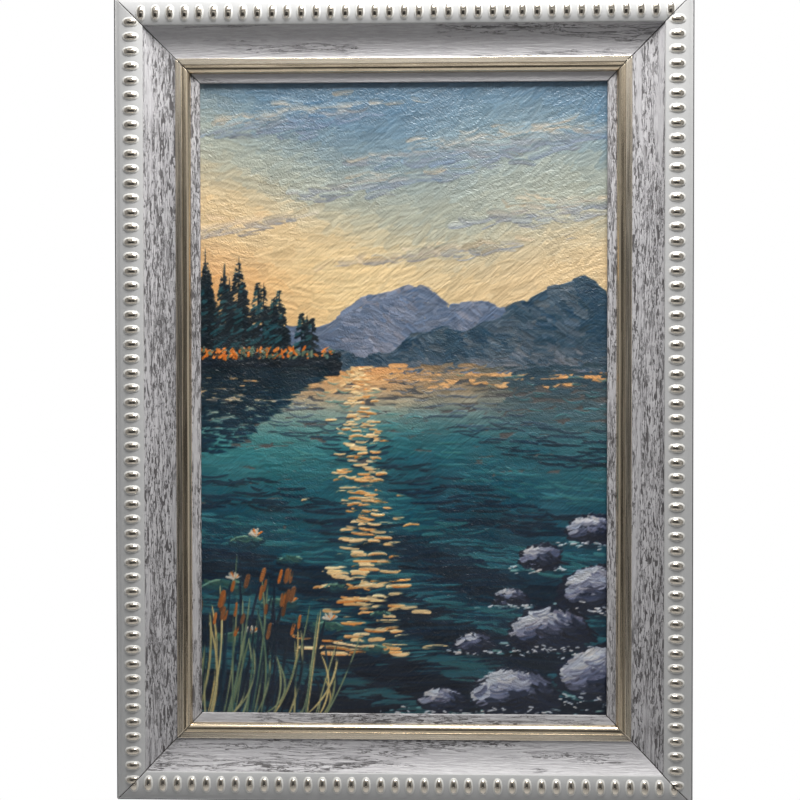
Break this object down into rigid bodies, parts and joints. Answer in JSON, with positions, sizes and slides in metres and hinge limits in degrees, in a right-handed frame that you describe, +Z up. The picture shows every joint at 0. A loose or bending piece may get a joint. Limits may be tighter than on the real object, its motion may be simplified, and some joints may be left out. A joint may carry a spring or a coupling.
{
  "type": "framed oil painting",
  "caption": "Small framed oil painting: a painted board in a mitred, beaded grey and gilt moulding, hung by a toothed plate on its back.",
  "frame": {"origin": "middle of the toothed hanger's wall face, on the picture's centre line", "axes": "+Z up, +X to the right as seen from the front, the picture faces -Y and its back and hanger face +Y"},
  "size_m": [0.252, 0.0229, 0.352],
  "materials": {
    "moulding": "distressed grey paint with dark streaks along the grain, and a smooth satin light grey outer band",
    "gilt": "satin champagne metal leaf",
    "beads": "bright silver",
    "board": "bare brown hardboard, matt",
    "oil_paint": "brushed oil paint with raised strokes and a low varnish sheen",
    "steel": "zinc-plated thin steel"
  },
  "bodies": {
    "root": {"rail_top": "moulding", "rail_bottom": "moulding", "rail_left": "moulding", "rail_right": "moulding", "painted_board": "board", "holding_tab_1": "steel", "holding_tab_2": "steel", "holding_tab_3": "steel", "holding_tab_4": "steel", "holding_tab_5": "steel", "holding_tab_6": "steel", "hanger_plate": "steel", "hanger_nail_left": "steel", "hanger_nail_right": "steel"}
  },
  "joints": []
}
